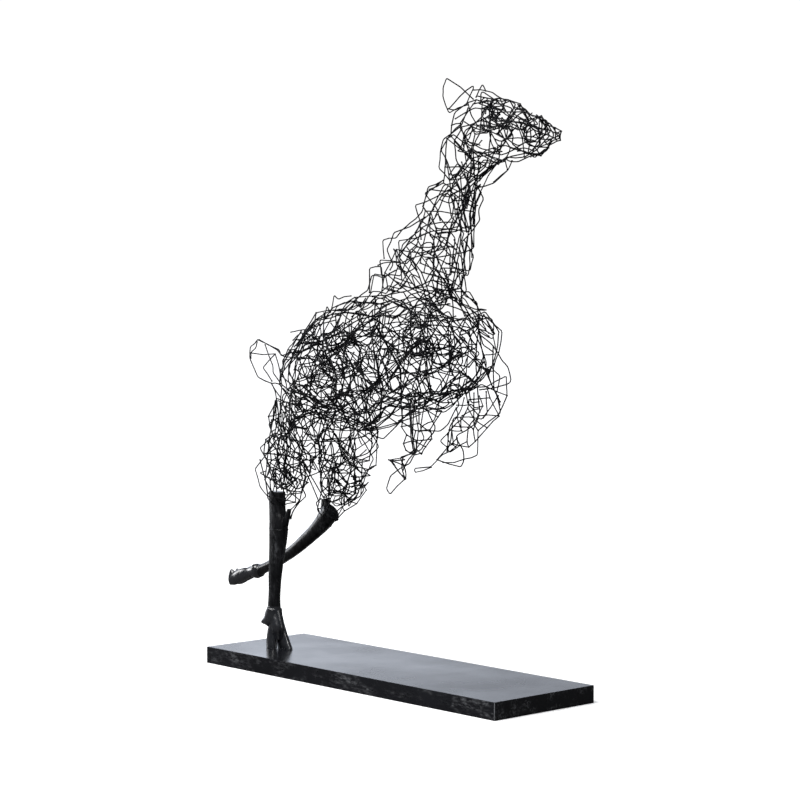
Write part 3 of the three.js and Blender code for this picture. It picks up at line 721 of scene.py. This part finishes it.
def foot_part(sections, fetlock, side, swung, share=1.0, shift=0.0):
    """A part of a foot in the figure's own hundredths.

    side is the side of the foot that it is on, share takes its depth down, and shift sets its sole forward.
    A swung foot has its sole to the back.
    """
    placed = []
    sole = sections[-1][2]
    for x, y, z, depth, width in sections:
        x += shift * z / sole
        x, z = (z, -x) if swung else (x, z)
        placed.append([fetlock[0] + x, fetlock[1] + side * y, fetlock[2] + z, depth * share, width])
    return placed


def seam_bead(limb, share):
    """The thin raised bead round a leg where two lengths of the casting meet"""
    middle = along(limb.middles, share)
    reach = along(limb.reaches, share)
    round_reach = (reach.x + reach.y) / 2
    front, left = limb.axes(share)
    ahead = front.cross(left)
    bpy.ops.object.select_all(action="DESELECT")
    bpy.ops.mesh.primitive_torus_add(
        major_radius=round_reach, minor_radius=SEAM_RADIUS,
        major_segments=64, minor_segments=8, location=middle,
    )
    bead = bpy.context.object
    bpy.ops.object.mode_set(mode="EDIT")
    bpy.ops.transform.resize(
        value=(reach.x / round_reach, reach.y / round_reach, 1), center_override=middle
    )
    bpy.ops.transform.rotate(value=-math.atan(ahead.x / ahead.z), orient_axis="Y", center_override=middle)
    bpy.ops.object.mode_set(mode="OBJECT")
    bpy.ops.object.transform_apply(location=True, rotation=True, scale=True)
    return bead


def cast_leg(name, bones, fetlock, pastern, toe, dewclaw, seam_at, toe_shares, swung, node, casting, hoof):
    """A lower leg with its bones run into one skin, and two toes with a cleft between them"""
    upright = not swung
    skins = [loft(name, Limb(bone, upright)) for bone in bones]
    skins.append(loft("pastern", Limb(foot_part(pastern, fetlock, 1, swung), upright)))
    skins += [loft("dewclaw", Limb(foot_part(dewclaw, fetlock, side, swung))) for side in (-1, 1)]
    alone(*skins)
    bpy.ops.object.join()
    leg = bpy.context.object
    melted(leg, LEG_SOFTENING)
    parts = [seam_bead(Limb(bones[0], upright), seam_at)]
    for side, share, shift in toe_shares:
        parts.append(loft("toe", Limb(foot_part(toe, fetlock, side, swung, share, shift), upright)))
        melted(parts[-1], TOE_SOFTENING)
    alone(leg, *parts)
    bpy.ops.object.join()
    hand_dented(leg)
    bpy.ops.object.shade_smooth()
    leg.name = name
    leg.data.materials.clear()
    leg.data.materials.append(casting)
    leg.data.materials.append(hoof)
    knuckle = measured(fetlock)
    for face in leg.data.polygons:
        beyond = knuckle.x - face.center.x if swung else knuckle.z - face.center.z
        face.material_index = 1 if beyond > -HOOF_RISE else 0
    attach(leg, "root")
    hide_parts(node)
    return leg


def plinth_plate(sides, highlight_corners, top):
    """The plate with its edges eased, rubbed sides, a cleaner top and a painted highlight of pale grey metal
    on its upright corners
    """
    bpy.ops.object.select_all(action="DESELECT")
    bpy.ops.mesh.primitive_cube_add(size=1, location=(0, 0, PLINTH_THICKNESS / 2))
    plate = bpy.context.object
    plate.name = "plinth_plate"
    bpy.ops.object.mode_set(mode="EDIT")
    bpy.ops.transform.resize(
        value=(PLINTH_LENGTH, PLINTH_WIDTH, PLINTH_THICKNESS), center_override=(0, 0, PLINTH_THICKNESS / 2)
    )
    bpy.ops.mesh.bevel(offset=PLINTH_EDGE, segments=3, profile=0.5, affect="EDGES")
    bpy.ops.object.mode_set(mode="OBJECT")
    bpy.ops.object.transform_apply(location=True, rotation=True, scale=True)
    for finish in (sides, highlight_corners, top):
        plate.data.materials.append(finish)
    for face in plate.data.polygons:
        face.use_smooth = face.area < PLINTH_THICKNESS * PLINTH_EDGE * 4
        upright = abs(face.normal.z) < 0.1
        slanting = 0.1 < abs(face.normal.x) < 0.99
        # The upright corner faces take the pale grey metal that is painted on as their highlight
        if upright and slanting:
            face.material_index = 1
        elif face.normal.z > 0.5:
            face.material_index = 2
    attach(plate, "root")
    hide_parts("plinth")
    return plate


# Finishes
def set_inputs(node, **values):
    """Sets a node's inputs to fixed values; an input's words are joined by underscores"""
    for label, value in values.items():
        node.inputs[label.replace("_", " ")].default_value = value


def ranged(tree, value, start, end, low, high, kind="LINEAR"):
    """A value from low to high as another one goes from start to end"""
    node = tree.nodes.new("ShaderNodeMapRange")
    node.interpolation_type = kind
    tree.links.new(value, node.inputs["Value"])
    set_inputs(node, From_Min=start, From_Max=end, To_Min=low, To_Max=high)
    return node.outputs["Result"]


def product(tree, first, second, clamp=False):
    """Two values multiplied"""
    node = tree.nodes.new("ShaderNodeMath")
    node.operation = "MULTIPLY"
    node.use_clamp = clamp
    tree.links.new(first, node.inputs[0])
    tree.links.new(second, node.inputs[1])
    return node.outputs["Value"]


def effect(name, inputs, output):
    """An empty node group with named inputs and a named output"""
    group = bpy.data.node_groups.new(name, "ShaderNodeTree")
    for label, kind, value in inputs:
        socket = group.interface.new_socket(label, in_out="INPUT", socket_type=kind)
        if value is not None:
            socket.default_value = value
    group.interface.new_socket(output, in_out="OUTPUT", socket_type="NodeSocketFloat")
    return group, group.nodes.new("NodeGroupInput"), group.nodes.new("NodeGroupOutput")


def drawn_noise(group, given, fineness, detail, roughness):
    """A noise over the group's place, drawn out by its Draw and as fine as the input of that name"""
    drawn = group.nodes.new("ShaderNodeMapping")
    group.links.new(given.outputs["Place"], drawn.inputs["Vector"])
    group.links.new(given.outputs["Draw"], drawn.inputs["Scale"])
    noise = group.nodes.new("ShaderNodeTexNoise")
    set_inputs(noise, Detail=detail, Roughness=roughness)
    group.links.new(drawn.outputs["Vector"], noise.inputs["Vector"])
    group.links.new(given.outputs[fineness], noise.inputs["Scale"])
    return noise.outputs["Fac"]


def grain_effect():
    """A fine uneven grain that can be drawn out in one direction"""
    group, given, result = effect("drawn_grain", [
        ("Place", "NodeSocketVector", None),
        ("Draw", "NodeSocketVector", (1, 1, 1)),
        ("Fineness", "NodeSocketFloat", 100.0),
    ], "Grain")
    group.links.new(drawn_noise(group, given, "Fineness", 5, 0.6), result.inputs["Grain"])
    return group


def wear_effect():
    """Patches where the black is rubbed through, broken up by a finer noise"""
    group, given, result = effect("rubbed_patches", [
        ("Place", "NodeSocketVector", None),
        ("Draw", "NodeSocketVector", (1, 1, 1)),
        ("Patch Fineness", "NodeSocketFloat", 20.0),
        ("Scratch Fineness", "NodeSocketFloat", 200.0),
        ("Cover", "NodeSocketFloat", 0.4),
    ], "Wear")
    shares = []
    for fineness, detail in (("Patch Fineness", 3), ("Scratch Fineness", 6)):
        noise = drawn_noise(group, given, fineness, detail, 0.65)
        shares.append(ranged(group, noise, 0.42, 0.7, 0, 1, "SMOOTHSTEP"))
    covered = product(group, product(group, *shares), given.outputs["Cover"], clamp=True)
    group.links.new(covered, result.inputs["Wear"])
    return group


DRAWN_GRAIN = grain_effect()
RUBBED_PATCHES = wear_effect()


class Finish:
    """A material with its nodes, links and main shader at hand"""

    def __init__(self, name):
        self.material = bpy.data.materials.new(name)
        self.material.use_nodes = True
        self.nodes = self.material.node_tree.nodes
        self.links = self.material.node_tree.links
        self.shader = self.nodes["Principled BSDF"]
        self.place = self.nodes.new("ShaderNodeTexCoord").outputs["Object"]

    def mask(self, group, **values):
        """The value that an effect gives over the surface, with these values for its inputs"""
        node = self.nodes.new("ShaderNodeGroup")
        node.node_tree = group
        self.links.new(self.place, node.inputs["Place"])
        set_inputs(node, **values)
        return node.outputs[0]

    def between(self, mask, low, high, start=0.3, end=0.7):
        """A value from low to high as the mask goes from start to end"""
        return ranged(self.material.node_tree, mask, start, end, low, high)

    def mixed(self, mask, first, second):
        """A colour from first to second; either may be a colour or a socket"""
        node = self.nodes.new("ShaderNodeMix")
        node.data_type = "RGBA"
        self.links.new(mask, node.inputs["Factor"])
        for label, colour in (("A", first), ("B", second)):
            socket = next(s for s in node.inputs if s.name == label and s.type == "RGBA")
            if isinstance(colour, tuple):
                socket.default_value = (*colour, 1)
            else:
                self.links.new(colour, socket)
        return next(s for s in node.outputs if s.type == "RGBA")

    def feed(self, **sockets):
        """Links sockets to the shader's inputs"""
        for label, socket in sockets.items():
            self.links.new(socket, self.shader.inputs[label.replace("_", " ")])

    def bump(self, height, depth, strength):
        """Raises the surface where the height is great, at most by the depth"""
        node = self.nodes.new("ShaderNodeBump")
        set_inputs(node, Distance=depth, Strength=strength)
        self.links.new(height, node.inputs["Height"])
        self.feed(Normal=node.outputs["Normal"])


def wire_finish():
    """Iron wire blacked in the fire, duller where it scaled"""
    finish = Finish("black_wire")
    scale = finish.mask(DRAWN_GRAIN, Fineness=260.0)
    patch = finish.mask(DRAWN_GRAIN, Fineness=28.0)
    darkest = (0.0035, 0.0035, 0.0045)
    palest = (0.012, 0.012, 0.014)
    finish.feed(
        Base_Color=finish.mixed(finish.between(patch, 0, 1), darkest, palest),
        Roughness=finish.between(scale, 0.36, 0.6),
    )
    set_inputs(finish.shader, Specular_IOR_Level=0.06)
    finish.bump(scale, 0.25 * MM, 0.6)
    return finish.material


def casting_finish():
    """Blacked casting with faint streaks down the leg"""
    finish = Finish("black_casting")
    streak = finish.mask(DRAWN_GRAIN, Draw=(1, 1, 0.1), Fineness=200.0)
    cloud = finish.mask(DRAWN_GRAIN, Fineness=60.0)
    wear = finish.mask(
        RUBBED_PATCHES, Draw=(1, 1, 0.35), Patch_Fineness=70.0, Scratch_Fineness=450.0, Cover=1.0
    )
    darkest = (0.0022, 0.0023, 0.003)
    palest = (0.0125, 0.013, 0.0148)
    tone = finish.mixed(finish.between(streak, 0, 1, 0.4, 0.66), darkest, palest)
    finish.feed(
        Base_Color=finish.mixed(wear, tone, (0.07, 0.072, 0.078)),
        Roughness=finish.between(cloud, 0.18, 0.4),
    )
    set_inputs(finish.shader, Specular_IOR_Level=0.2)
    finish.bump(streak, 0.8 * MM, 0.9)
    return finish.material


def hoof_finish():
    """Polished blacked metal of the fetlocks and hooves"""
    finish = Finish("black_hoof")
    streak = finish.mask(DRAWN_GRAIN, Draw=(1, 1, 0.2), Fineness=240.0)
    cloud = finish.mask(DRAWN_GRAIN, Fineness=70.0)
    finish.feed(
        Base_Color=finish.mixed(finish.between(cloud, 0, 1), (0.004, 0.0042, 0.0055), (0.02, 0.0215, 0.026)),
        Roughness=finish.between(streak, 0.16, 0.34),
    )
    set_inputs(finish.shader, Specular_IOR_Level=0.7)
    finish.bump(streak, 0.4 * MM, 0.6)
    return finish.material


def plinth_finish(name, cover):
    """Satin black lacquer, clouded, with its rubbed grey patches as strong as cover says"""
    finish = Finish(name)
    cloud = finish.mask(DRAWN_GRAIN, Fineness=9.0)
    grain = finish.mask(DRAWN_GRAIN, Draw=(0.25, 1, 1), Fineness=300.0)
    wear = finish.mask(
        RUBBED_PATCHES, Draw=(0.35, 1, 1), Patch_Fineness=60.0, Scratch_Fineness=420.0, Cover=cover
    )
    tone = finish.mixed(finish.between(cloud, 0, 1), (0.004, 0.0042, 0.0055), (0.009, 0.0095, 0.012))
    finish.feed(
        Base_Color=finish.mixed(wear, tone, (0.085, 0.087, 0.093)),
        Roughness=finish.between(cloud, 0.2, 0.29),
    )
    set_inputs(finish.shader, Specular_IOR_Level=0.2)
    finish.bump(grain, 0.04 * MM, 0.4)
    return finish.material


def highlit_corner_finish():
    """Pale grey metal painted on the plate's upright corners as their bright highlight, broken up by black
    in places
    """
    finish = Finish("painted_corner_highlight")
    left = finish.mask(DRAWN_GRAIN, Draw=(1, 1, 0.4), Fineness=320.0)
    # The pale grey here is a painted highlight along the corners, not bare worn metal
    finish.feed(
        Base_Color=finish.mixed(finish.between(left, 0, 1), (0.5, 0.51, 0.54), (0.06, 0.06, 0.065)),
        Roughness=finish.between(left, 0.3, 0.5),
        Metallic=finish.between(left, 1, 0.2),
    )
    return finish.material


black_wire = wire_finish()
black_casting = casting_finish()
black_hoof = hoof_finish()

# Strides between two bends, and the turn at a bend in radians, each from its least to its most
SHORT = (8 * MM, 14 * MM)
MIDDLING = (12 * MM, 22 * MM)
LONG = (18 * MM, 34 * MM)
SHARP = (0.7, 1.4)
EASY = (0.25, 0.9)
NEAR_STRAIGHT = (0.05, 0.35)

# Depths in a limb, as shares of the way from its middle to its skin
ON_THE_SKIN = (0.88, 1.05)
NEAR_THE_SKIN = (0.8, 1.05)
UNDER_THE_SKIN = (0.4, 0.98)
OUTER_HALF = (0.4, 1.0)
DEEPER = (0.3, 1.0)
THROUGHOUT = (0.12, 0.98)

# Trunk
TRUNK_STRETCH = (0.1, 0.8)
SHOULDERS = (0.75, 1)
trunk = Limb(TRUNK)
wires = Runs()
ring_net(wires, trunk, rings=8, cells=6, seed=1, shell=0.97, start=0.06, end=0.94, stray=2.0)
ring_net(wires, trunk, rings=9, cells=7, seed=12, shell=0.72, start=0.14, end=0.76, stray=1.4)
ring_net(wires, trunk, rings=6, cells=4, seed=2, shell=0.42, start=0.16, end=0.74, stray=1.4)
chance = random.Random(31)
wander(wires, trunk, chance, 2.8, MIDDLING, EASY, ON_THE_SKIN, TRUNK_STRETCH)
wander(wires, trunk, chance, 7.8, MIDDLING, EASY, THROUGHOUT, TRUNK_STRETCH)
wander(wires, trunk, chance, 3.0, SHORT, SHARP, UNDER_THE_SKIN, TRUNK_STRETCH, closed=0.5)
wander(wires, trunk, chance, 2.8, LONG, NEAR_STRAIGHT, UNDER_THE_SKIN, TRUNK_STRETCH, grain=1.4, strands=2)
wander(wires, trunk, chance, 1.2, MIDDLING, SHARP, NEAR_THE_SKIN, SHOULDERS, closed=0.3)
single_wires(wires, CHEST_LINES + RUMP_LINES + WITHERS_LINES + BELLY_LINES)
wire_piece("trunk_wire", wires, black_wire)

# Neck
NECK_STRETCH = (0.06, 0.9)
NECK_BASE = (0.1, 0.4)
neck = Limb(NECK)
wires = Runs()
ring_net(wires, neck, rings=7, cells=3, seed=3, start=0.04, end=0.9, shell=0.85, stray=1.3)
ring_net(wires, neck, rings=5, cells=3, seed=13, start=0.08, end=0.6, shell=0.6, stray=1.3)
chance = random.Random(32)
wander(wires, neck, chance, 1.3, MIDDLING, SHARP, OUTER_HALF, NECK_STRETCH, closed=0.7, grain=1.6)
wander(wires, neck, chance, 1.1, MIDDLING, EASY, DEEPER, NECK_STRETCH, grain=1.5)
wander(wires, neck, chance, 0.6, MIDDLING, EASY, DEEPER, NECK_BASE)
single_wires(wires, NECK_LINES)
wire_piece("neck_wire", wires, black_wire)

# Head
HEAD_STRETCH = (0.05, 0.82)
head = Limb(HEAD)
wires = Runs()
ring_net(wires, head, rings=7, cells=4, seed=4, shell=0.92)
chance = random.Random(33)
wander(wires, head, chance, 1.6, SHORT, SHARP, UNDER_THE_SKIN, HEAD_STRETCH, closed=0.5)
wander(wires, head, chance, 1.1, MIDDLING, EASY, UNDER_THE_SKIN, HEAD_STRETCH, grain=1.4)
single_wires(wires, HEAD_LINES)
wire_piece("head_wire", wires, black_wire)

# Thighs
for name, sections, net_seed, own_seed, lines in (
    ("right", RIGHT_THIGH, 5, 34, RIGHT_THIGH_LINES),
    ("left", LEFT_THIGH, 6, 35, LEFT_THIGH_LINES),
):
    thigh = Limb(sections)
    wires = Runs()
    ring_net(wires, thigh, 6, 5, net_seed, start=0.3, stray=1.2, collar=True)
    ring_net(wires, thigh, 6, 4, net_seed + 10, shell=0.7, start=0.3, end=0.92, stray=1.2)
    chance = random.Random(own_seed)
    wander(wires, thigh, chance, 1.6, MIDDLING, EASY, (0.3, 0.98), (0.2, 0.88))
    wander(wires, thigh, chance, 0.7, SHORT, SHARP, OUTER_HALF, (0.22, 0.88), closed=0.5)
    wander(wires, thigh, chance, 0.8, MIDDLING, EASY, OUTER_HALF, (0.15, 0.95), grain=1.5)
    single_wires(wires, lines)
    wire_piece(name + "_thigh_wire", wires, black_wire)

# Forelegs
for name, sections, rings, seed, start, lines in (
    ("right", RIGHT_FORELEG, 4, 7, 0.36, RIGHT_FORELEG_LINES),
    ("left", LEFT_FORELEG, 5, 8, 0.3, LEFT_FORELEG_LINES),
):
    wires = Runs()
    ring_net(wires, Limb(sections), rings, 3, seed, start=start, stray=0.6)
    single_wires(wires, lines)
    wire_piece(name + "_foreleg_wire", wires, black_wire)

# Cast legs and plinth
cast_leg(
    "standing_leg_cast", [STANDING_SHANK, STANDING_SPUR], STANDING_FETLOCK, STANDING_PASTERN, STANDING_TOE,
    STANDING_DEWCLAW, STANDING_SEAM, STANDING_TOES, False, "standing_hind_leg", black_casting, black_hoof,
)
cast_leg(
    "raised_leg_cast", [RAISED_SHANK, RAISED_HOCK_POINT], RAISED_FETLOCK, RAISED_PASTERN, RAISED_TOE,
    RAISED_DEWCLAW, RAISED_SEAM, RAISED_TOES, True, "raised_hind_leg", black_casting, black_hoof,
)
plinth_plate(plinth_finish("rubbed_plinth", 1.6), highlit_corner_finish(), plinth_finish("clean_plinth", 0.2))

# Floor, light and camera
CAMERA_PLACE = Vector((1.97699, -1.78538, 0.47466))
CAMERA_HEADING = Vector((-0.73837, 0.67218, -0.05463))
CAMERA_LENS = 103.73
CAMERA_REACH = 100
FLOOR_SIZE = 30
FLOOR_GLOW = 0.3
FLOOR_BOUNCE = 0.12
BACKDROP_GLOW = 1.05
SCREEN_HEADING = (-0.97, 0.243, 0)
SCREEN_COLOUR = (0.88, 0.94, 1.06, 1)
SCREEN_LIGHT = 3.0
ROOM_LIGHT = 0.1
SCREEN_TOP = 0.6
SCREEN_SIDES = 0.3
FIGURE_MIDDLE = Vector((0, 0, 0.36))


def seen_and_thrown(tree, seen, thrown, output):
    """One shader for what the camera sees, and another for the light that is thrown on the work"""
    choice = tree.nodes.new("ShaderNodeMixShader")
    tree.links.new(tree.nodes.new("ShaderNodeLightPath").outputs["Is Camera Ray"], choice.inputs["Fac"])
    tree.links.new(thrown.outputs[0], choice.inputs[1])
    tree.links.new(seen.outputs[0], choice.inputs[2])
    tree.links.new(choice.outputs["Shader"], tree.nodes[output].inputs["Surface"])


def studio_floor():
    """A white floor to the eye that throws little light back on the black work"""
    white = bpy.data.materials.new("white_floor")
    white.use_nodes = True
    nodes = white.node_tree.nodes
    seen = nodes["Principled BSDF"]
    set_inputs(seen, Base_Color=(0.9, 0.9, 0.9, 1), Roughness=0.9, Specular_IOR_Level=0.0)
    set_inputs(seen, Emission_Color=(1, 1, 1, 1), Emission_Strength=FLOOR_GLOW)
    thrown = nodes.new("ShaderNodeBsdfDiffuse")
    set_inputs(thrown, Color=(FLOOR_BOUNCE, FLOOR_BOUNCE, FLOOR_BOUNCE, 1))
    seen_and_thrown(white.node_tree, seen, thrown, "Material Output")
    bpy.ops.object.select_all(action="DESELECT")
    bpy.ops.mesh.primitive_plane_add(size=FLOOR_SIZE, location=(0, 0, 0))
    floor = bpy.context.object
    floor.name = "floor"
    floor.data.materials.append(white)


def studio_world():
    """White to the eye, and for the light on the work a bright screen behind it in a dim room"""
    world = bpy.data.worlds.new("studio")
    bpy.context.scene.world = world
    world.use_nodes = True
    tree = world.node_tree
    nodes, links = tree.nodes, tree.links
    backdrop = nodes["Background"]
    set_inputs(backdrop, Color=(1, 1, 1, 1), Strength=BACKDROP_GLOW)
    walls = nodes.new("ShaderNodeBackground")
    set_inputs(walls, Color=SCREEN_COLOUR)
    direction = nodes.new("ShaderNodeTexCoord").outputs["Generated"]
    parts = nodes.new("ShaderNodeSeparateXYZ")
    links.new(direction, parts.inputs["Vector"])
    behind = nodes.new("ShaderNodeVectorMath")
    behind.operation = "DOT_PRODUCT"
    behind.inputs[1].default_value = SCREEN_HEADING
    links.new(direction, behind.inputs[0])
    low = ranged(tree, parts.outputs["Z"], 0, SCREEN_TOP, 1, 0, "SMOOTHSTEP")
    facing = ranged(tree, behind.outputs["Value"], 1 - SCREEN_SIDES, 1, 0, 1, "SMOOTHSTEP")
    light = ranged(tree, product(tree, low, facing), 0, 1, ROOM_LIGHT, ROOM_LIGHT + SCREEN_LIGHT)
    links.new(light, walls.inputs["Strength"])
    seen_and_thrown(tree, backdrop, walls, "World Output")


def lamp(name, kind, place, power, size):
    """A soft light that looks at the middle of the figure"""
    data = bpy.data.lights.new(name, kind)
    data.energy = power
    if kind == "SUN":
        data.angle = size
    else:
        data.size = size
    light = bpy.data.objects.new(name, data)
    bpy.context.collection.objects.link(light)
    light.location = place
    light.rotation_euler = (FIGURE_MIDDLE - Vector(place)).to_track_quat("-Z", "Y").to_euler()


studio_floor()
studio_world()
lamp("overhead", "SUN", (-0.5, -1.2, 2.4), 3.0, math.radians(30))
lamp("key", "AREA", (0.65, -1.7, 1.3), 22, 0.6)
lamp("fill", "AREA", (2.2, 0.7, 0.9), 6, 0.8)
lamp("rim", "AREA", (-1.7, -0.5, 0.45), 8, 0.5)
lamp("back", "AREA", (-0.8, 0.3, 1.8), 7, 0.5)

camera_data = bpy.data.cameras.new("camera")
camera_data.sensor_width = 36
camera_data.lens = CAMERA_LENS
camera_data.clip_end = CAMERA_REACH
camera = bpy.data.objects.new("camera", camera_data)
bpy.context.collection.objects.link(camera)
camera.location = CAMERA_PLACE
camera.rotation_euler = CAMERA_HEADING.to_track_quat("-Z", "Y").to_euler()
bpy.context.scene.camera = camera
bpy.context.scene.view_settings.view_transform = "Standard"
